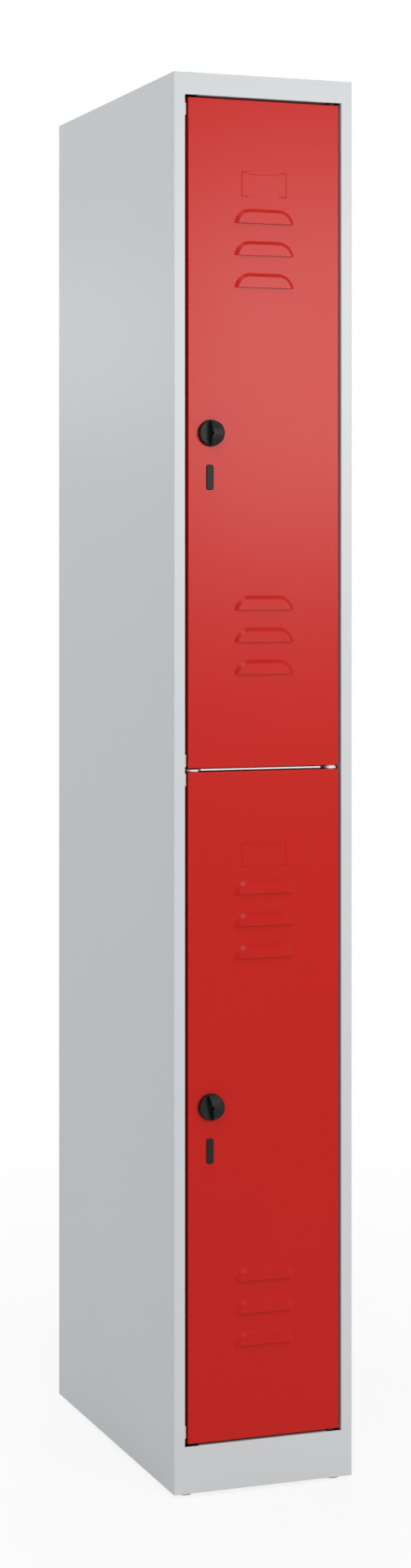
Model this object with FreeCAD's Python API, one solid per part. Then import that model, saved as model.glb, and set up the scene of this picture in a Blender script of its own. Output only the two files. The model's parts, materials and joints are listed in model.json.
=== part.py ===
import FreeCAD, Part
import math
import os

# Double-tier steel locker with two right-hinged doors, in millimetres.
# Origin: centre of the footprint on the floor. +Z is up, the doors face -Y, the hinges are on the +X side.

# Carcass
width = 250.0
depth = 500.0
height = 1850.0
sheet = 1.0                 # steel sheet of the carcass and the doors
bend = 1.5                  # outside radius of the carcass folds that show
stile = 15.5                # front width of the side panels
top_rail_height = 29.0
plinth_height = 61.0
stile_return = 22.0         # stile edge folded back beside the doors
rail_return = 18.0          # rail edge folded back above and below the doors
rail_lip = 12.0             # rear lip of a rail's return
rear_flange = 20.0          # side panel folded round behind the back panel
tray_flange = 15.0          # turned-down edge of the top, floor and shelf
wall_hole_radius = 3.5
wall_hole_spacing = 150.0
wall_hole_drop = 100.0      # below the top

# Doors
side_gap = 4.0
end_gap = 3.3
middle_gap = 5.0
door_depth = 16.0
door_bend = 0.8             # outside radius of the folds round a door's face
door_lip = 12.0             # inner lip round the back of a door
stiffener_width = 16.0
stiffener_depth = 12.0
stiffener_flange = 8.0
stiffener_clear = 4.25      # from the ends of the louvres
stiffener_end = 20.0        # short of the door's ends

# Louvres pressed out of the doors
louvre_width = 83.5
louvre_height = 19.0
louvre_sink = 3.0           # centres of the rounded ends below the open edge
louvre_bevel = 5.0
louvre_rise = 3.5
louvre_pitch = 42.0
louvres_in_set = 3
upper_set_drop = 160.5      # door top to the first louvre's open edge
lower_set_rise = 121.5      # door bottom to the first louvre's open edge

# Label holder pressed into the doors
label_width = 62.0
label_height = 31.5
label_drop = 93.8           # below the door top
label_arm = 10.0
label_groove = 1.0
label_groove_depth = 0.4
label_line_drop = 2.9
label_line = 0.6
label_line_depth = 0.25

# Pivots
pivot_inset = 9.0           # from the door's right edge, midway through the door's depth
pin_radius = 3.0
running_clearance = 0.05
fixed_clearance = 0.05
pin_into_block = 8.0
pin_into_door = 12.0
pin_collar_rim = 3.0
pin_collar = 2.0
block_length = 19.5
block_height = 12.0
boss_wall = 3.5
boss_gap = 0.5              # boss to the door's end
bush_wall = 1.5
bush_rim = 3.0
bush_flange = 2.0
bush_length = 6.0
pin_into_bush = 5.5

# Middle shelf and its two brackets
shelf_rise = 0.9            # shelf top above the middle of the gap between the doors
shelf_setback = 4.0         # behind the stile returns
tongue_lock_gap = 0.5       # shelf tongue to the lock-side bracket
tongue_pivot_gap = 8.5      # shelf tongue to the pivot bracket
tongue_setback = 1.1
edge_strip_wall = 0.6       # pressed over the tongue's front edge
edge_strip_depth = 8.0
edge_strip_round = 0.9
bracket_width = 16.0
bracket_thickness = 1.6     # under the shelf, the nose in front of it is thicker
bracket_round = 0.5         # edges of the nose
bracket_overlap = 36.0      # under the shelf
rivet_radius = 2.0
rivet_rim = 1.5
rivet_head = 1.2
rivet_inset = 9.0           # from the ends of the overlap
washer_rim = 3.8            # past the centre pivot pin
washer_gap = 0.3            # to the upper door

# Buffers on the lock-side return
buffer_thickness = 2.4
buffer_setback = 3.0
buffer_depth = 12.0
buffer_height = 16.0
buffer_outer_offset = 15.0  # centre from the outer end of a door
buffer_inner_offset = 10.0  # centre from the middle end of a door

# Feet
foot_show = 5.0
foot_radius = 9.5
foot_stem_radius = 4.0
foot_stem = 9.0
foot_side_inset = 21.5
foot_end_inset = 20.0
foot_plate = 45.0
foot_plate_thickness = 1.5

# Coat hooks
hook_plate_length = 50.0
hook_plate_width = 20.0
hook_plate_thickness = 2.0
hook_rod_radius = 2.5
hook_bow_radius = 22.0
hook_shank = 42.0
hook_tip = 6.0
hook_ball_radius = 4.0

# Lock, knob and latch
knob_inset = 31.0           # from the door's left edge, at mid height
knob_radius = 17.3
knob_taper = 1.0
knob_height = 13.0
knob_face_height = 7.0      # flat strip on the left
knob_face_width = 7.0
knob_valley_height = 3.4    # at the grip's foot, where the curve from the flat strip ends
knob_grip_foot = 2.2        # left of the axis
knob_grip_draft = 1.3
knob_crown_fall = 6.5       # how far the grip's crown falls towards the knob's top and bottom
knob_edge_round = 4.5       # outer edge of the grip
knob_round = 0.8
lower_knob_turn = 12.0      # degrees by which the lower knob rests short of upright
flange_thickness = 1.2
flange_margin = 0.3         # lock flange past the knob
turning_gap = 0.3
barrel_wall = 3.0
barrel_length = 18.0
spindle_wall = 1.5
lock_nut_wall = 3.0
lock_nut_height = 4.0
core_radius = 4.5
core_nose_radius = 2.3
core_nose = 2.0             # from the valley to the core's shoulder
core_recess = 1.2
core_length = 14.0
key_slot_width = 1.1
key_slot_height = 3.8
key_slot_depth = 3.0
key_notch_start = 2.8       # left of the axis, in the grip's wall
key_notch_reach = 0.6       # right of the axis
key_notch_height = 4.6
key_notch_corner = 1.6
cam_thickness = 2.0
cam_width = 14.0
cam_gap = 1.0               # latch behind the stile return
cam_grip = 7.0              # latch past the stile return's face
stud_radius = 3.0
stud_length = 8.0
cam_nut_wall = 2.0
cam_nut_height = 4.0

# Slot plug below the knob
plug_inset = 29.9           # from the door's left edge
plug_drop = 57.5
plug_width = 10.0
plug_height = 33.0
plug_corner = 3.4           # radius of the corners
plug_rise = 1.8
plug_round = 1.1            # radius of the front edge
plug_ledge = 1.0            # plug's flange past its slot
plug_stem = 4.0

# Places that follow from the sizes
left = -width / 2
right = width / 2
front = -depth / 2
back = depth / 2
base = foot_show
inner_left = left + sheet
inner_right = right - sheet
inner_back = back - 2 * sheet
opening_left = left + stile
opening_right = right - stile
opening_bottom = base + plinth_height
opening_top = height - top_rail_height
hinge_end = (opening_right - block_length, opening_right)
lock_end = (opening_left, opening_left + block_length)
door_left = opening_left + side_gap
door_right = opening_right - side_gap
door_height = (opening_top - opening_bottom - 2 * end_gap - middle_gap) / 2
lower_door_bottom = opening_bottom + end_gap
upper_door_bottom = lower_door_bottom + door_height + middle_gap
pivot_x = door_right - pivot_inset
pivot_y = front + door_depth / 2
shelf_top = upper_door_bottom - middle_gap / 2 + shelf_rise
shelf_front = front + stile_return + shelf_setback
shelf_underside = shelf_top - sheet
bracket_underside = shelf_underside - bracket_thickness
tongue_front = front + tongue_setback
tongue_left = bracket_width / 2 + tongue_lock_gap - pivot_x
tongue_right = pivot_x - bracket_width / 2 - tongue_pivot_gap
knob_x = door_left + knob_inset
plug_x = door_left + plug_inset
knob_rear = front - flange_thickness - turning_gap
knob_tip = front - knob_height
knob_valley = front - knob_valley_height
spindle_radius = core_radius + spindle_wall
barrel_radius = spindle_radius + barrel_wall
cam_front = front + stile_return + cam_gap
cam_rear = cam_front + cam_thickness


def point(x, y, z):
    return FreeCAD.Vector(x, y, z)


def box(x_ends, y_ends, z_ends):
    low = point(min(x_ends), min(y_ends), min(z_ends))
    size = point(max(x_ends), max(y_ends), max(z_ends)) - low
    return Part.makeBox(size.x, size.y, size.z, low)


def upright(x, y, z_ends, radius):
    low = min(z_ends)
    return Part.makeCylinder(radius, max(z_ends) - low, point(x, y, low))


def level(x, z, y_ends, radius):
    low = min(y_ends)
    return Part.makeCylinder(radius, max(y_ends) - low, point(x, low, z), point(0, 1, 0))


def on_pivot(z_ends, radius):
    return upright(pivot_x, pivot_y, z_ends, radius)


def joined(first, *others):
    return first.fuse(list(others)).removeSplitter()


def mirrored(shape):
    return shape.mirror(point(0, 0, 0), point(1, 0, 0))


def hexagon(x, z, y_ends, flats):
    reach = flats / math.sqrt(3)
    low, high = min(y_ends), max(y_ends)
    corners = []
    for step in range(7):
        angle = math.radians(60 * step)
        corners.append(point(x + reach * math.cos(angle), low, z + reach * math.sin(angle)))
    return Part.Face(Part.makePolygon(corners)).extrude(point(0, high - low, 0))


def rounded_block(x, z, y_ends, wide, tall, radius):
    block = box((x - wide / 2, x + wide / 2), y_ends, (z - tall / 2, z + tall / 2))
    corners = []
    for corner_x in (x - wide / 2, x + wide / 2):
        for corner_z in (z - tall / 2, z + tall / 2):
            corners += edges_at(block, X=corner_x, Z=corner_z)
    return block.makeFillet(radius, corners)


# Edges whose ends all have the given coordinates
def edges_at(shape, **place):
    def lies_there(edge):
        for vertex in edge.Vertexes:
            for axis, value in place.items():
                if abs(getattr(vertex, axis) - value) > 0.001:
                    return False
        return True
    return [edge for edge in shape.Edges if lies_there(edge)]


# Edges wholly in front of a place
def edges_proud(shape, y):
    return [edge for edge in shape.Edges if edge.BoundBox.YMax < y]


def save(name, *solids):
    shape = Part.makeCompound(list(solids))
    shape.exportStep(os.path.join("parts", name + ".step"))
    print(name, len(shape.Solids), "solids", round(shape.Volume), "mm3, valid:", shape.isValid())


# Carcass panels

# Side sheet, front stile with its edge folded back beside the doors, and a flange behind the back panel
def left_side_panel():
    opening = (opening_bottom, opening_top)
    fold = joined(
        box((left, opening_left), (front, front + sheet), opening),
        box((opening_left - sheet, opening_left), (front, front + stile_return), opening))
    fold = fold.makeFillet(bend, edges_at(fold, X=opening_left, Y=front))
    side = joined(
        fold,
        box((left, inner_left), (front, back), (base, height)),
        box((left, opening_left), (front, front + sheet), (base, opening_bottom)),
        box((left, opening_left), (front, front + sheet), (opening_top, height)),
        box((left, left + rear_flange), (back - sheet, back), (base, height)))
    return side.makeFillet(bend, edges_at(side, X=left, Y=front) + edges_at(side, X=left, Y=back))


def back_panel():
    y_ends = (inner_back, back - sheet)
    panel = box((inner_left, inner_right), y_ends, (base, height))
    holes = []
    for x in (-wall_hole_spacing / 2, wall_hole_spacing / 2):
        holes.append(level(x, height - wall_hole_drop, y_ends, wall_hole_radius))
    return panel.cut(holes)


# Flat sheet between the side panels with some of its edges turned down
def tray(y_front, top, sides):
    y_ends = (y_front, inner_back)
    x_ends = (inner_left, inner_right)
    flange_places = {
        "left": ((inner_left, inner_left + sheet), y_ends),
        "right": ((inner_right - sheet, inner_right), y_ends),
        "front": (x_ends, (y_front, y_front + sheet)),
        "back": (x_ends, (inner_back - sheet, inner_back)),
    }
    flanges = [box(*flange_places[side], (top - tray_flange, top)) for side in sides]
    return joined(box(x_ends, y_ends, (top - sheet, top)), *flanges)


def top_panel():
    return tray(front + sheet, height, ("left", "right", "front", "back"))


def floor_panel():
    return tray(front + rail_return, opening_bottom, ("left", "right", "front", "back"))


# Rail between the stiles: its opening edge folds back, then away from the doors, with notched ends
def front_rail(edge, outer):
    away = math.copysign(1, outer - edge)
    inner = front + rail_return
    x_ends = (opening_left, opening_right)
    rail = joined(
        box(x_ends, (front, front + sheet), (edge, outer)),
        box(x_ends, (front, inner), (edge, edge + away * sheet)),
        box(x_ends, (inner - sheet, inner), (edge, edge + away * rail_lip)))
    rail = rail.makeFillet(bend, edges_at(rail, Y=front, Z=edge))
    notches = []
    for notch_x in (hinge_end, lock_end):
        notches.append(box(notch_x, (front + sheet, inner - sheet), (edge, edge + away * sheet)))
    return rail.cut(notches)


# Shelf with a tongue that reaches forward between the doors
def middle_shelf():
    x_ends = (tongue_left, tongue_right)
    tongue = box(x_ends, (tongue_front, shelf_front), (shelf_underside, shelf_top))
    apron = box(x_ends, (shelf_front, shelf_front + sheet), (shelf_top - tray_flange, shelf_top))
    shelf = joined(tray(shelf_front, shelf_top, ("left", "right", "back")), tongue, apron)
    return shelf.cut(rivet_shanks(fixed_clearance))


# Channel over the tongue's front edge
def shelf_edge_strip():
    x_ends = (tongue_left, tongue_right)
    strip_front = tongue_front - edge_strip_wall
    low = shelf_underside - edge_strip_wall
    high = shelf_top + edge_strip_wall
    strip = box(x_ends, (strip_front, strip_front + edge_strip_depth), (low, high))
    nose_edges = edges_at(strip, Y=strip_front, Z=low) + edges_at(strip, Y=strip_front, Z=high)
    strip = strip.makeFillet(edge_strip_round, nose_edges)
    slot = box(x_ends, (tongue_front, strip_front + edge_strip_depth), (shelf_underside, shelf_top))
    return strip.cut(slot)


# Brackets on the shelf's front edge

def rivet_places():
    y_places = (shelf_front + rivet_inset, shelf_front + bracket_overlap - rivet_inset)
    return [(x, y) for x in (-pivot_x, pivot_x) for y in y_places]


def rivet_shanks(clearance):
    z_ends = (bracket_underside, shelf_top)
    return [upright(x, y, z_ends, rivet_radius + clearance) for x, y in rivet_places()]


def rivet_dome(x, y, z, away):
    rim = rivet_radius + rivet_rim
    radius = (rim ** 2 + rivet_head ** 2) / (2 * rivet_head)
    ball = Part.makeSphere(radius, point(x, y, z + away * (rivet_head - radius)))
    return ball.common(upright(x, y, (z, z + away * rivet_head), rim))


def bracket_rivets():
    rivets = []
    for shank, (x, y) in zip(rivet_shanks(0), rivet_places()):
        domes = [rivet_dome(x, y, shelf_top, 1), rivet_dome(x, y, bracket_underside, -1)]
        rivets.append(joined(shank, *domes))
    return rivets


# Plate riveted under the shelf, with a round nose as high as the shelf's top
def shelf_bracket(x, holds_pin):
    half = bracket_width / 2
    x_ends = (x - half, x + half)
    nose_ends = (bracket_underside, shelf_top)
    nose = joined(box(x_ends, (pivot_y, shelf_front), nose_ends), upright(x, pivot_y, nose_ends, half))
    edges = edges_at(nose, Y=pivot_y, Z=bracket_underside) + edges_at(nose, Y=pivot_y, Z=shelf_top)
    nose = nose.makeFillet(bracket_round, edges)
    plate = box(x_ends, (shelf_front, shelf_front + bracket_overlap), (bracket_underside, shelf_underside))
    holes = rivet_shanks(fixed_clearance)
    if holds_pin:
        holes.append(on_pivot(nose_ends, pin_radius + fixed_clearance))
    return joined(nose, plate).cut(holes)


# Spacer on the pin between the bracket and the upper door
def centre_pivot_washer():
    z_ends = (shelf_top, upper_door_bottom - washer_gap)
    return on_pivot(z_ends, pin_radius + washer_rim).cut(on_pivot(z_ends, pin_radius + running_clearance))


def centre_pivot_pin():
    lower_end = upper_door_bottom - middle_gap - pin_into_bush
    return on_pivot((lower_end, upper_door_bottom + pin_into_bush), pin_radius)


# Plastic block in a rail's notched end, with a bored boss at the hinge side
def pivot_block(edge, away, x_ends, bored):
    block = box(x_ends, (front + sheet, front + rail_return - sheet), (edge, edge + away * block_height))
    if not bored:
        return block
    boss_end = edge - away * (end_gap - boss_gap)
    block = joined(block, on_pivot((boss_end, edge), pin_radius + boss_wall))
    return block.cut(on_pivot((boss_end, edge + away * pin_into_block), pin_radius + running_clearance))


def door_buffers():
    centres = (
        upper_door_bottom + door_height - buffer_outer_offset,
        upper_door_bottom + buffer_inner_offset,
        lower_door_bottom + door_height - buffer_inner_offset,
        lower_door_bottom + buffer_outer_offset)
    face = opening_left + buffer_thickness
    y_ends = (front + buffer_setback, front + buffer_setback + buffer_depth)
    buffers = []
    for centre in centres:
        z_ends = (centre - buffer_height / 2, centre + buffer_height / 2)
        pad = box((opening_left, face), y_ends, z_ends)
        buffers.append(pad.makeFillet(buffer_thickness / 2, edges_at(pad, X=face)))
    return buffers


# Feet

def foot_places():
    x = right - foot_side_inset
    y = back - foot_end_inset
    return [(-x, -y), (x, -y), (-x, y), (x, y)]


def foot_plates():
    z_ends = (base, base + foot_plate_thickness)
    plates = []
    for x, y in foot_places():
        x_wall = math.copysign(inner_right, x)
        y_wall = front + sheet if y < 0 else inner_back
        x_ends = (x_wall, x_wall - math.copysign(foot_plate, x))
        y_ends = (y_wall, y_wall - math.copysign(foot_plate, y))
        hole = upright(x, y, z_ends, foot_stem_radius + fixed_clearance)
        plates.append(box(x_ends, y_ends, z_ends).cut(hole))
    return plates


def feet():
    pushed_in = []
    for x, y in foot_places():
        disc = upright(x, y, (0, foot_show), foot_radius)
        pushed_in.append(joined(disc, upright(x, y, (foot_show, foot_show + foot_stem), foot_stem_radius)))
    return pushed_in


# Double hook welded under a ceiling: a half-round bow with ball ends on a shank
def coat_hook(ceiling):
    plate_bottom = ceiling - hook_plate_thickness
    bow_bottom = plate_bottom - hook_shank
    bow_centre = bow_bottom + hook_bow_radius
    plate = box(
        (-hook_plate_length / 2, hook_plate_length / 2),
        (-hook_plate_width / 2, hook_plate_width / 2),
        (plate_bottom, ceiling))
    ring = Part.makeTorus(hook_bow_radius, hook_rod_radius, point(0, 0, bow_centre), point(0, 1, 0))
    reach = hook_bow_radius + hook_ball_radius
    bow = ring.common(box((-reach, reach), (-reach, reach), (bow_centre - reach, bow_centre)))
    hook = joined(plate, bow, upright(0, 0, (bow_bottom, plate_bottom), hook_rod_radius))
    tip_top = bow_centre + hook_tip
    for x in (-hook_bow_radius, hook_bow_radius):
        ball = Part.makeSphere(hook_ball_radius, point(x, 0, tip_top))
        hook = joined(hook, upright(x, 0, (bow_centre, tip_top), hook_rod_radius), ball)
    return hook


# Doors

# Hood with slanting rounded ends: two part cones and a straight middle, cut off along the louvre's lower edge
def louvre_dome(edge, rear, outer, rear_radius, outer_radius):
    full_radius = louvre_height + louvre_sink
    straight = louvre_width / 2 - math.sqrt(full_radius ** 2 - louvre_sink ** 2)
    centre = edge - louvre_sink
    section = Part.makePolygon([
        point(-straight, rear, edge),
        point(-straight, rear, centre + rear_radius),
        point(-straight, outer, centre + outer_radius),
        point(-straight, outer, edge),
        point(-straight, rear, edge)])
    middle = Part.Face(section).extrude(point(2 * straight, 0, 0))
    above = box((-louvre_width, louvre_width), (rear, outer), (edge, edge + louvre_width))
    ends = []
    for x in (-straight, straight):
        cone = Part.makeCone(rear_radius, outer_radius, rear - outer, point(x, rear, centre), point(0, -1, 0))
        ends.append(cone.common(above))
    return joined(middle, *ends)


def louvre_hood(edge):
    radius = louvre_height + louvre_sink
    return louvre_dome(edge, front, front - louvre_rise, radius, radius - louvre_bevel)


def louvre_hollow(edge):
    slope = louvre_bevel / louvre_rise
    radius = louvre_height + louvre_sink - sheet * math.hypot(1, slope)
    rear_radius = radius + sheet * slope
    outer_radius = radius - (louvre_rise - sheet) * slope
    return louvre_dome(edge, front + sheet, front - louvre_rise + sheet, rear_radius, outer_radius)


def louvre_edges(bottom):
    top = bottom + door_height
    edges = []
    for step in range(louvres_in_set):
        edges.append(top - upper_set_drop - step * louvre_pitch)
        edges.append(bottom + lower_set_rise + step * louvre_pitch)
    return edges


# V-shaped grooves in the door's face, upright and level
def upright_groove(x, z_ends, wide, deep):
    section = [(x - wide / 2, -deep), (x - wide / 2, 0), (x, deep), (x + wide / 2, 0), (x + wide / 2, -deep)]
    corners = [point(across, front + y, min(z_ends)) for across, y in section]
    return Part.Face(Part.makePolygon(corners + corners[:1])).extrude(point(0, 0, max(z_ends) - min(z_ends)))


def level_groove(z, x_ends, wide, deep):
    section = [(z - wide / 2, -deep), (z - wide / 2, 0), (z, deep), (z + wide / 2, 0), (z + wide / 2, -deep)]
    corners = [point(min(x_ends), front + y, up) for up, y in section]
    return Part.Face(Part.makePolygon(corners + corners[:1])).extrude(point(max(x_ends) - min(x_ends), 0, 0))


# Two bracket-shaped grooves and a finer line that joins their upper arms
def label_grooves(bottom):
    top = bottom + door_height - label_drop
    low = top - label_height
    half = label_width / 2
    reach = half - label_arm
    grooves = []
    for side in (-1, 1):
        grooves.append(upright_groove(side * half, (low, top), label_groove, label_groove_depth))
        for z in (low, top):
            grooves.append(level_groove(z, (side * half, side * reach), label_groove, label_groove_depth))
    grooves.append(level_groove(top - label_line_drop, (-reach, reach), label_line, label_line_depth))
    return grooves


# Folded pan with louvres, label holder, lock hole, plug slot and pivot holes
def door_skin(bottom, pin_end, bush_end):
    top = bottom + door_height
    rear = front + door_depth
    knob_z = bottom + door_height / 2
    pan = box((door_left, door_right), (front, rear), (bottom, top))
    pan = pan.makeFillet(door_bend, edges_at(pan, Y=front))
    hollow = box(
        (door_left + sheet, door_right - sheet),
        (front + sheet, rear - sheet),
        (bottom + sheet, top - sheet))
    window = box(
        (door_left + door_lip, door_right - door_lip),
        (rear - sheet, rear),
        (bottom + door_lip, top - door_lip))
    pan = joined(pan.cut([hollow, window]), *[louvre_hood(edge) for edge in louvre_edges(bottom)])
    openings = [louvre_hollow(edge) for edge in louvre_edges(bottom)] + label_grooves(bottom)
    openings.append(level(knob_x, knob_z, (front, front + sheet), barrel_radius + fixed_clearance))
    openings.append(plug_body(knob_z, (front, front + sheet), fixed_clearance))
    openings.append(on_pivot((pin_end - sheet, pin_end + sheet), pin_radius + fixed_clearance))
    bush_hole = pin_radius + running_clearance + bush_wall + fixed_clearance
    openings.append(on_pivot((bush_end - sheet, bush_end + sheet), bush_hole))
    return pan.cut(openings)


# Hat-shaped channel inside a door, clear of the louvres
def door_stiffener(bottom):
    z_ends = (bottom + stiffener_end, bottom + door_height - stiffener_end)
    half = stiffener_width / 2
    centre = louvre_width / 2 + stiffener_clear + stiffener_flange + half
    rear = front + sheet + stiffener_depth
    channel = box((centre - half, centre + half), (rear - sheet, rear), z_ends)
    for side in (-1, 1):
        wall = centre + side * half
        web = box((wall, wall - side * sheet), (front + sheet, rear), z_ends)
        flange = box((wall, wall + side * stiffener_flange), (front + sheet, front + 2 * sheet), z_ends)
        channel = joined(channel, web, flange)
    return channel


# Pin through a door's outer end, with a collar inside the door
def door_pivot_pin(end, away):
    inside = end - away * sheet
    inner_tip = end - away * pin_into_door
    outer_tip = end + away * (end_gap + pin_into_block - boss_gap)
    collar = on_pivot((inside, inside - away * pin_collar), pin_radius + pin_collar_rim)
    return joined(on_pivot((inner_tip, outer_tip), pin_radius), collar)


# Flanged bush in a door's middle end, which turns on the centre pin. Flats keep it from turning in the door
def door_pivot_bush(end, inward):
    bore = pin_radius + running_clearance
    seat = end + inward * sheet
    length = (end, end + inward * bush_length)
    sleeve = on_pivot(length, bore + bush_wall)
    flange_ends = (seat, seat + inward * bush_flange)
    wall = sheet + fixed_clearance
    inside = box(
        (door_left + wall, door_right - wall),
        (front + wall, front + door_depth - wall),
        flange_ends)
    flange = on_pivot(flange_ends, bore + bush_wall + bush_rim).common(inside)
    return joined(sleeve, flange).cut(on_pivot(length, bore))


# Slot plug

def plug_body(knob_z, y_ends, clearance):
    less = plug_ledge - clearance
    return rounded_block(
        plug_x, knob_z - plug_drop, y_ends,
        plug_width - 2 * less, plug_height - 2 * less, plug_corner - less)


def slot_plug(knob_z):
    outer = front - plug_rise
    flange = rounded_block(plug_x, knob_z - plug_drop, (outer, front), plug_width, plug_height, plug_corner)
    flange = flange.makeFillet(plug_round, edges_at(flange, Y=outer))
    return joined(flange, plug_body(knob_z, (front, front + plug_stem), 0))


# Lock

def lock_body(knob_z):
    length = (front - flange_thickness, front + barrel_length)
    flange = level(knob_x, knob_z, (front - flange_thickness, front), knob_radius + flange_margin)
    barrel = level(knob_x, knob_z, (front, front + barrel_length), barrel_radius)
    return joined(flange, barrel).cut(level(knob_x, knob_z, length, spindle_radius + running_clearance))


def hexagon_nut(knob_z, y_ends, thread_radius, wall):
    nut = hexagon(knob_x, knob_z, y_ends, 2 * (thread_radius + wall))
    return nut.cut(level(knob_x, knob_z, y_ends, thread_radius + fixed_clearance))


def lock_nut(knob_z):
    return hexagon_nut(knob_z, (front + sheet, front + sheet + lock_nut_height), barrel_radius, lock_nut_wall)


def cam_nut(knob_z):
    return hexagon_nut(knob_z, (cam_rear, cam_rear + cam_nut_height), stud_radius, cam_nut_wall)


# Turned body of the knob: a tapered side and a rounded edge at the tip. The profile lies left of the axis
def knob_turned(knob_z):
    round_start = knob_tip + knob_edge_round
    outer = knob_radius - knob_taper
    slant = knob_edge_round * (1 - math.sqrt(0.5))
    rear_centre = point(knob_x, knob_rear, knob_z)
    tip_centre = point(knob_x, knob_tip, knob_z)
    side = point(knob_x - outer, round_start, knob_z)
    shoulder = point(knob_x - outer + slant, knob_tip + slant, knob_z)
    edge = point(knob_x - outer + knob_edge_round, knob_tip, knob_z)
    rim = point(knob_x - knob_radius, knob_rear, knob_z)
    profile = Part.Wire([
        Part.makeLine(rear_centre, rim),
        Part.makeLine(rim, side),
        Part.Arc(side, shoulder, edge).toShape(),
        Part.makeLine(edge, tip_centre),
        Part.makeLine(tip_centre, rear_centre)])
    return Part.Face(profile).revolve(rear_centre, point(0, 1, 0), 360)


# Upright prism over the knob's whole height, from corners given across and forward
def knob_prism(knob_z, corners):
    low = knob_z - knob_radius
    outline = [point(knob_x + x, y, low) for x, y in corners]
    return Part.Face(Part.makePolygon(outline + outline[:1])).extrude(point(0, 0, 2 * knob_radius))


# Knob head: a flat strip on the left, a curve down to the keyhole and a crowned grip on the right
def knob_head(knob_z):
    turned = knob_turned(knob_z)
    z_ends = (knob_z - knob_radius, knob_z + knob_radius)
    face = front - knob_face_height
    strip_edge = knob_x - knob_radius + knob_face_width
    foot = knob_x - knob_grip_foot
    run = foot - strip_edge
    fall = knob_valley - face
    roll_radius = (run ** 2 + fall ** 2) / (2 * fall)
    roll = upright(strip_edge, face + roll_radius, z_ends, roll_radius)
    left = joined(
        box((knob_x - knob_radius, strip_edge), (face, knob_rear), z_ends),
        roll.common(box((strip_edge, foot), (face, knob_rear), z_ends)),
        box((foot, knob_x + knob_radius), (knob_valley, knob_rear), z_ends))
    right = knob_prism(knob_z, (
        (-knob_grip_foot, knob_rear),
        (-knob_grip_foot, knob_valley),
        (knob_grip_draft - knob_grip_foot, knob_tip),
        (knob_radius, knob_tip),
        (knob_radius, knob_rear)))
    crown_radius = (knob_radius ** 2 + knob_crown_fall ** 2) / (2 * knob_crown_fall)
    crown_start = point(knob_x - knob_radius, knob_tip + crown_radius, knob_z)
    crown = Part.makeCylinder(crown_radius, 2 * knob_radius, crown_start, point(1, 0, 0))
    low_part = turned.common(left)
    rim_edges = [edge for edge in edges_proud(low_part, knob_valley) if edge.BoundBox.XLength > knob_round]
    low_part = low_part.makeFillet(knob_round, rim_edges)
    grip = right.common(crown)
    wall_edges = [edge for edge in edges_proud(grip, knob_valley - knob_round) if edge.BoundBox.XMax < knob_x]
    grip = grip.makeFillet(knob_round, wall_edges)
    return joined(low_part, turned.common(grip))


def lock_knob(knob_z):
    spindle = level(knob_x, knob_z, (knob_rear, cam_front), spindle_radius)
    stud = level(knob_x, knob_z, (cam_front, cam_front + stud_length), stud_radius)
    core_front = knob_valley + core_nose
    core_room = level(knob_x, knob_z, (core_front, core_front + core_length), core_radius + running_clearance)
    nose_room = level(knob_x, knob_z, (knob_valley, core_front), core_nose_radius + running_clearance)
    key_notch = rounded_block(
        knob_x + (key_notch_reach - key_notch_start) / 2, knob_z, (knob_tip, knob_valley + core_recess),
        key_notch_start + key_notch_reach, key_notch_height, key_notch_corner)
    return joined(knob_head(knob_z), spindle, stud).cut([core_room, nose_room, key_notch])


def lock_core(knob_z):
    core_tip = knob_valley + core_recess
    core_front = knob_valley + core_nose + turning_gap
    core_rear = knob_valley + core_nose + core_length - turning_gap
    core = joined(
        level(knob_x, knob_z, (core_front, core_rear), core_radius),
        level(knob_x, knob_z, (core_tip, core_front), core_nose_radius))
    key_slot = box(
        (knob_x - key_slot_width / 2, knob_x + key_slot_width / 2),
        (core_tip, core_tip + key_slot_depth),
        (knob_z - key_slot_height / 2, knob_z + key_slot_height / 2))
    return core.cut(key_slot)


# Latch that hangs down when released and turns a quarter turn to lie behind the stile return
def latch_cam(knob_z):
    y_ends = (cam_front, cam_rear)
    reach = knob_x - opening_left + cam_grip
    half = cam_width / 2
    arm = box((knob_x - half, knob_x + half), y_ends, (knob_z - reach, knob_z))
    arm = joined(arm, level(knob_x, knob_z, y_ends, half))
    return arm.cut(level(knob_x, knob_z, y_ends, stud_radius + fixed_clearance))


os.makedirs("parts", exist_ok=True)

save("left_side_panel", left_side_panel())
save("right_side_panel", mirrored(left_side_panel()))
save("back_panel", back_panel())
save("top_panel", top_panel())
save("floor_panel", floor_panel())
save("top_rail", front_rail(opening_top, height))
save("plinth_rail", front_rail(opening_bottom, base))
save("middle_shelf", middle_shelf())
save("shelf_edge_strip", shelf_edge_strip())
save("centre_pivot_bracket", shelf_bracket(pivot_x, True))
save("lock_side_bracket", shelf_bracket(-pivot_x, False))
save("bracket_rivets", *bracket_rivets())
save("centre_pivot_pin", centre_pivot_pin())
save("centre_pivot_washer", centre_pivot_washer())

save("top_bearing_block", pivot_block(opening_top, 1, hinge_end, True))
save("bottom_bearing_block", pivot_block(opening_bottom, -1, hinge_end, True))
save("top_blanking_block", pivot_block(opening_top, 1, lock_end, False))
save("bottom_blanking_block", pivot_block(opening_bottom, -1, lock_end, False))
save("door_buffers", *door_buffers())
save("foot_plates", *foot_plates())
save("feet", *feet())
save("upper_coat_hook", coat_hook(height - sheet))
save("lower_coat_hook", coat_hook(shelf_underside))

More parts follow.
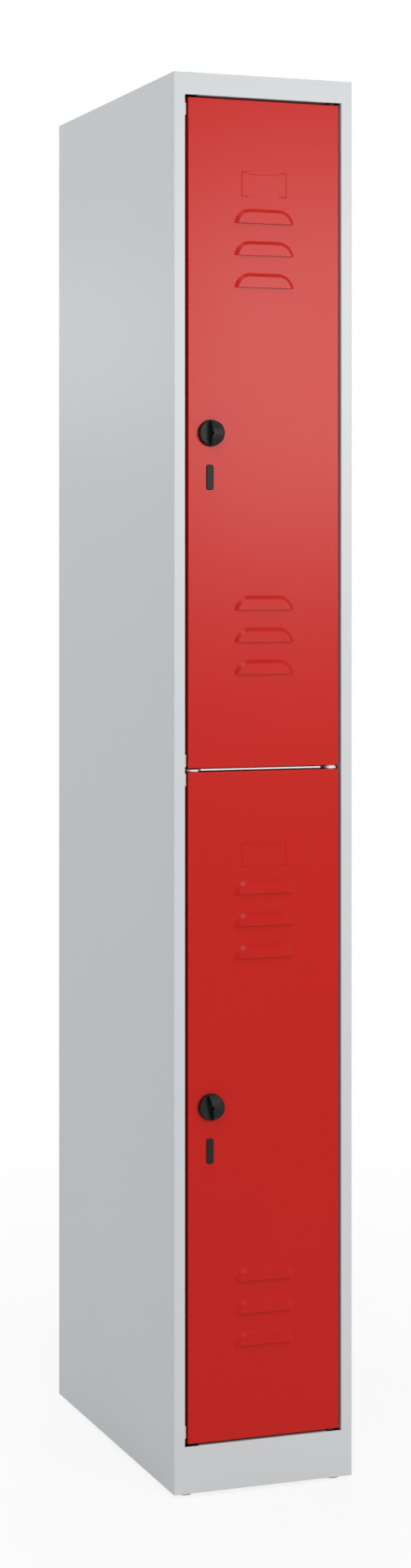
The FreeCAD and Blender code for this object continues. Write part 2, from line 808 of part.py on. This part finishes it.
for door, bottom, away, turn in (
        ("upper", upper_door_bottom, 1, 0), ("lower", lower_door_bottom, -1, -lower_knob_turn)):
    knob_z = bottom + door_height / 2
    outer_end = knob_z + away * door_height / 2
    inner_end = knob_z - away * door_height / 2
    save(door + "_door_skin", door_skin(bottom, outer_end, inner_end))
    save(door + "_door_stiffener", door_stiffener(bottom))
    save(door + "_door_pivot_pin", door_pivot_pin(outer_end, away))
    save(door + "_door_pivot_bush", door_pivot_bush(inner_end, away))
    save(door + "_slot_plug", slot_plug(knob_z))
    save(door + "_lock_body", lock_body(knob_z))
    save(door + "_lock_nut", lock_nut(knob_z))
    for name, shape in (
            ("_lock_knob", lock_knob(knob_z)), ("_lock_core", lock_core(knob_z)),
            ("_latch_cam", latch_cam(knob_z)), ("_cam_nut", cam_nut(knob_z))):
        shape.rotate(point(knob_x, front, knob_z), point(0, 1, 0), turn)
        save(door + name, shape)
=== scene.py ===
import json
import bpy
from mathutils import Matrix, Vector

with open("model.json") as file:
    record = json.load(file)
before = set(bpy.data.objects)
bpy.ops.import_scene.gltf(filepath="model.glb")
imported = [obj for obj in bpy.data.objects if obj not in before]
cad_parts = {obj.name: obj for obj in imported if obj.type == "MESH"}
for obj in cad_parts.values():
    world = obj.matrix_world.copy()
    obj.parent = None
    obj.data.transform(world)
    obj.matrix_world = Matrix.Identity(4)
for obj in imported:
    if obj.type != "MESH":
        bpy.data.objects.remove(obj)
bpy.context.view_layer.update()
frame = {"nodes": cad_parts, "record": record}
scene = bpy.context.scene
nodes = frame["nodes"]
print("frame loaded:", len(nodes), "nodes")


# One value in a node tree. Sums, differences and products of values and numbers add Math nodes
class Field:
    def __init__(self, tree, socket=None):
        self.tree = tree
        self.socket = socket

    # Any node: its type, its settings, then values or links of its sockets by name or number
    def add(self, kind, settings, inputs, output=0):
        made = self.tree.nodes.new(kind)
        for name, value in settings.items():
            setattr(made, name, value)
        for key, value in inputs.items():
            if isinstance(value, Field):
                self.tree.links.new(value.socket, made.inputs[key])
            else:
                made.inputs[key].default_value = value
        return Field(self.tree, made.outputs[output])

    def maths(self, operation, first, second):
        return self.add("ShaderNodeMath", {"operation": operation}, {0: first, 1: second})

    def __add__(self, other):
        return self.maths("ADD", self, other)

    def __radd__(self, other):
        return self.maths("ADD", other, self)

    def __sub__(self, other):
        return self.maths("SUBTRACT", self, other)

    def __rsub__(self, other):
        return self.maths("SUBTRACT", other, self)

    def __mul__(self, other):
        return self.maths("MULTIPLY", self, other)

    def __rmul__(self, other):
        return self.maths("MULTIPLY", other, self)

    def place(self):
        return self.add("ShaderNodeTexCoord", {}, {}, "Object")

    # Place stretched by a factor along each axis
    def stretched(self, factors):
        return self.add("ShaderNodeVectorMath", {"operation": "MULTIPLY"}, {0: self.place(), 1: factors})

    # Soft noise around 0.5 whose lumps are about size metres across
    def noise(self, size, detail=2.0, vector=None):
        inputs = {"Vector": vector or self.place(), "Scale": 1 / size, "Detail": detail}
        return self.add("ShaderNodeTexNoise", {}, inputs)

    # Change around zero, from a noise around 0.5
    def swing(self, amount):
        return (self - 0.5) * amount

    # Mix node in colour mode: its sockets 6 and 7 are the two colours, and output 2 is the result
    def mixed(self, factor, first, second):
        inputs = {0: factor, 6: (*first, 1), 7: (*second, 1)}
        return self.add("ShaderNodeMix", {"data_type": "RGBA"}, inputs, 2)

    def bump(self, height, metres):
        return self.add("ShaderNodeBump", {}, {"Height": height, "Distance": metres, "Strength": 1.0})


# Material with one shader. Constant sockets are set by name, varying ones are linked
def newMaterial(name, build):
    material = bpy.data.materials.new(name)
    material.use_nodes = True
    tree = material.node_tree
    shader = tree.nodes["Principled BSDF"]
    for key, value in build(Field(tree)).items():
        if isinstance(value, Field):
            tree.links.new(value.socket, shader.inputs[key])
        else:
            shader.inputs[key].default_value = value
    return material


# Powder coat: slow drift of tone, orange peel about 2 mm across, fine grain in the gloss
powderChange = {"driftGloss": 0.06, "grainGloss": 0.08, "grainHeight": 0.25}


def powderCoat(name, look):
    def build(f):
        drift = f.noise(look["driftSize"])
        peel = f.noise(look["peelSize"], detail=1.0)
        grain = f.noise(look["grainSize"], detail=0.0)
        gloss = drift.swing(powderChange["driftGloss"]) + grain.swing(powderChange["grainGloss"])
        return {
            "Base Color": f.mixed(drift, look["dark"], look["light"]),
            "Roughness": look["roughness"] + gloss,
            "Normal": f.bump(peel + powderChange["grainHeight"] * grain, look["peelHeight"]),
            "Specular IOR Level": look["specular"],
        }
    return newMaterial(name, build)


# Moulded plastic: spark-eroded grain and slow changes of gloss
plasticChange = {"driftGloss": 0.1, "grainGloss": 0.1}


def mouldedPlastic(name, look):
    def build(f):
        drift = f.noise(look["driftSize"])
        grain = f.noise(look["grainSize"])
        gloss = drift.swing(plasticChange["driftGloss"]) + grain.swing(plasticChange["grainGloss"])
        return {
            "Base Color": f.mixed(drift, look["dark"], look["light"]),
            "Roughness": look["roughness"] + gloss,
            "Normal": f.bump(grain, look["grainHeight"]),
            "Specular IOR Level": look["specular"],
        }
    return newMaterial(name, build)


# Plated or blackened metal: brushed lines along one axis and cloudy tone
metalChange = {"cloudGloss": 0.12, "lineGloss": 0.2}


def platedMetal(name, look):
    def build(f):
        cloud = f.noise(look["cloudSize"], detail=3.0)
        lines = f.noise(look["lineSize"], detail=1.0, vector=f.stretched(look["stretch"]))
        gloss = cloud.swing(metalChange["cloudGloss"]) + lines.swing(metalChange["lineGloss"])
        return {
            "Base Color": f.mixed(cloud, look["dark"], look["light"]),
            "Metallic": 1.0,
            "Roughness": look["roughness"] + gloss,
            "Normal": f.bump(lines, look["lineHeight"]),
        }
    return newMaterial(name, build)


# One finish for each material slot, with sizes and heights in metres
finishes = {
    "carcass_paint": powderCoat("greyPowderCoat", {
        "dark": (0.590, 0.614, 0.632), "light": (0.620, 0.644, 0.662), "roughness": 0.30, "specular": 0.18,
        "driftSize": 0.35, "peelSize": 0.0022, "grainSize": 0.0006, "peelHeight": 0.00002}),
    "door_paint": powderCoat("redPowderCoat", {
        "dark": (0.500, 0.0076, 0.0034), "light": (0.525, 0.0086, 0.0040),
        "roughness": 0.30, "specular": 0.20,
        "driftSize": 0.30, "peelSize": 0.0022, "grainSize": 0.0006, "peelHeight": 0.00002}),
    "white_paint": powderCoat("whitePowderCoat", {
        "dark": (0.775, 0.775, 0.765), "light": (0.805, 0.805, 0.795), "roughness": 0.36, "specular": 0.3,
        "driftSize": 0.02, "peelSize": 0.0018, "grainSize": 0.0005, "peelHeight": 0.00002}),
    "white_plastic": mouldedPlastic("whitePlastic", {
        "dark": (0.785, 0.785, 0.775), "light": (0.815, 0.815, 0.805), "roughness": 0.38, "specular": 0.4,
        "driftSize": 0.03, "grainSize": 0.0007, "grainHeight": 0.00001}),
    "black_plastic": mouldedPlastic("blackPlastic", {
        "dark": (0.009, 0.010, 0.010), "light": (0.013, 0.014, 0.014), "roughness": 0.44, "specular": 0.16,
        "driftSize": 0.012, "grainSize": 0.0005, "grainHeight": 0.00002}),
    "grey_plastic": mouldedPlastic("greyPlastic", {
        "dark": (0.55, 0.56, 0.57), "light": (0.61, 0.62, 0.63), "roughness": 0.5, "specular": 0.4,
        "driftSize": 0.010, "grainSize": 0.0006, "grainHeight": 0.00002}),
    "nylon": mouldedPlastic("naturalNylon", {
        "dark": (0.70, 0.68, 0.61), "light": (0.78, 0.76, 0.70), "roughness": 0.4, "specular": 0.4,
        "driftSize": 0.006, "grainSize": 0.0008, "grainHeight": 0.00001}),
    "zinc_plate": platedMetal("zincPlate", {
        "dark": (0.62, 0.64, 0.67), "light": (0.78, 0.79, 0.78), "roughness": 0.34,
        "cloudSize": 0.008, "lineSize": 0.0008, "stretch": (1.0, 1.0, 0.1), "lineHeight": 0.00001}),
    "dark_steel": platedMetal("darkSteel", {
        "dark": (0.040, 0.040, 0.042), "light": (0.060, 0.060, 0.062), "roughness": 0.35,
        "cloudSize": 0.004, "lineSize": 0.0005, "stretch": (1.0, 0.1, 1.0), "lineHeight": 0.00001}),
}
for part in frame["record"]["subparts"]:
    piece = nodes[part["node"]]
    piece.data.materials.clear()
    piece.data.materials.append(finishes[part["material_slot"]])
print("finishes set:", len(finishes))


# Turns a camera or lamp, which look along their own -Z, to face along a direction
def faceAlong(made, direction):
    made.rotation_euler = Vector(direction).to_track_quat("-Z", "Y").to_euler()


# Camera: level, with the frame shifted down so that the uprights stay parallel
cameraLook = {
    "place": (-1.3894, -3.8019, 1.2030), "aim": (0.3455, 0.9384, 0.0),
    "lens": 66.83, "sensor": 36.0, "shiftY": -0.1361}
cameraData = bpy.data.cameras.new("camera")
cameraData.lens = cameraLook["lens"]
cameraData.sensor_width = cameraLook["sensor"]
cameraData.shift_y = cameraLook["shiftY"]
camera = bpy.data.objects.new("camera", cameraData)
camera.location = cameraLook["place"]
faceAlong(camera, cameraLook["aim"])
scene.collection.objects.link(camera)
scene.camera = camera


# Soft lamps, each a rectangle that faces its target
plainWhite = (1.0, 1.0, 1.0)
lamps = {
    "key": {  # its mirror image is the broad sheen on the upper door
        "place": (0.98, -2.55, 1.65), "target": (0.0, -0.25, 1.2), "size": (0.72, 0.72), "watts": 21.8,
        "colour": (1.0, 0.985, 0.955)},
    "strip": {  # long and steep, for the glints on the louvres
        "place": (-0.7, -2.15, 3.6), "target": (0.0, -0.25, 1.0), "size": (0.4, 1.9), "watts": 21.0,
        "colour": plainWhite},
    "left": {
        "place": (-2.1, 0.2, 2.3), "target": (-0.1, 0.1, 1.3), "size": (1.0, 1.0), "watts": 12.8,
        "colour": plainWhite},
    "rear": {  # weak, for the sheen on the left side panel
        "place": (-1.1, 2.85, 1.75), "target": (-0.1, 0.0, 1.5), "size": (0.4, 0.4), "watts": 0.67,
        "colour": plainWhite},
    "back": {
        "place": (0.9, 3.0, 2.4), "target": (0.0, 0.25, 1.0), "size": (1.0, 1.0), "watts": 22.0,
        "colour": plainWhite},
    "lowFill": {
        "place": (-0.6, -4.2, 0.5), "target": (0.0, -0.25, 1.2), "size": (1.2, 0.6), "watts": 21.6,
        "colour": plainWhite},
}
for name, lamp in lamps.items():
    data = bpy.data.lights.new(name, "AREA")
    data.shape = "RECTANGLE"
    data.size, data.size_y = lamp["size"]
    data.energy = lamp["watts"]
    data.color = lamp["colour"]
    made = bpy.data.objects.new(name, data)
    made.location = lamp["place"]
    faceAlong(made, Vector(lamp["target"]) - Vector(lamp["place"]))
    scene.collection.objects.link(made)


# One where a ray comes straight from the camera, or by a mirror or through glass
seenPaths = ("Is Camera Ray", "Is Glossy Ray", "Is Transmission Ray")


def seenRays(f):
    paths = f.tree.nodes.new("ShaderNodeLightPath")
    straight, mirrored, through = [Field(f.tree, paths.outputs[name]) for name in seenPaths]
    return f.maths("MINIMUM", straight + mirrored + through, 1.0)


# White world, which is dimmer where it only lights the object
worldLook = {"colour": (1, 1, 1, 1), "lighting": 0.41, "seen": 1.0}
world = bpy.data.worlds.new("world")
scene.world = world
world.use_nodes = True
seen = seenRays(Field(world.node_tree))
strength = worldLook["lighting"] + seen * (worldLook["seen"] - worldLook["lighting"])
background = world.node_tree.nodes["Background"]
background.inputs["Color"].default_value = worldLook["colour"]
world.node_tree.links.new(strength.socket, background.inputs["Strength"])

# Pale floor: plain white where it is seen, with a share of its own lit tone near the object for the shadow
floorLook = {
    "half": 9.0, "matt": (0.9, 0.9, 0.9, 1), "white": (1, 1, 1, 1), "strength": 1.0,
    "near": 0.4, "far": 2.2, "whiteNear": 0.86, "whiteFar": 1.0}
half = floorLook["half"]
corners = [(-half, -half, 0), (half, -half, 0), (half, half, 0), (-half, half, 0)]
floorMesh = bpy.data.meshes.new("floor")
floorMesh.from_pydata(corners, [], [(0, 1, 2, 3)])
floor = bpy.data.objects.new("floor", floorMesh)
scene.collection.objects.link(floor)
floorPaint = bpy.data.materials.new("floorPaint")
floorPaint.use_nodes = True
tree = floorPaint.node_tree
tree.nodes.remove(tree.nodes["Principled BSDF"])
f = Field(tree)
matt = f.add("ShaderNodeBsdfDiffuse", {}, {"Color": floorLook["matt"]})
white = f.add("ShaderNodeEmission", {}, {"Color": floorLook["white"], "Strength": floorLook["strength"]})
reach = f.add("ShaderNodeVectorMath", {"operation": "LENGTH"}, {0: f.place()}, "Value")
whiteShare = f.add("ShaderNodeMapRange", {}, {
    "Value": reach,
    "From Min": floorLook["near"], "From Max": floorLook["far"],
    "To Min": floorLook["whiteNear"], "To Max": floorLook["whiteFar"]})
both = f.add("ShaderNodeMixShader", {}, {0: seenRays(f) * whiteShare, 1: matt, 2: white})
tree.links.new(both.socket, tree.nodes["Material Output"].inputs["Surface"])
floorMesh.materials.append(floorPaint)
print("camera, lamps and floor set")

scene.view_settings.view_transform = "Standard"
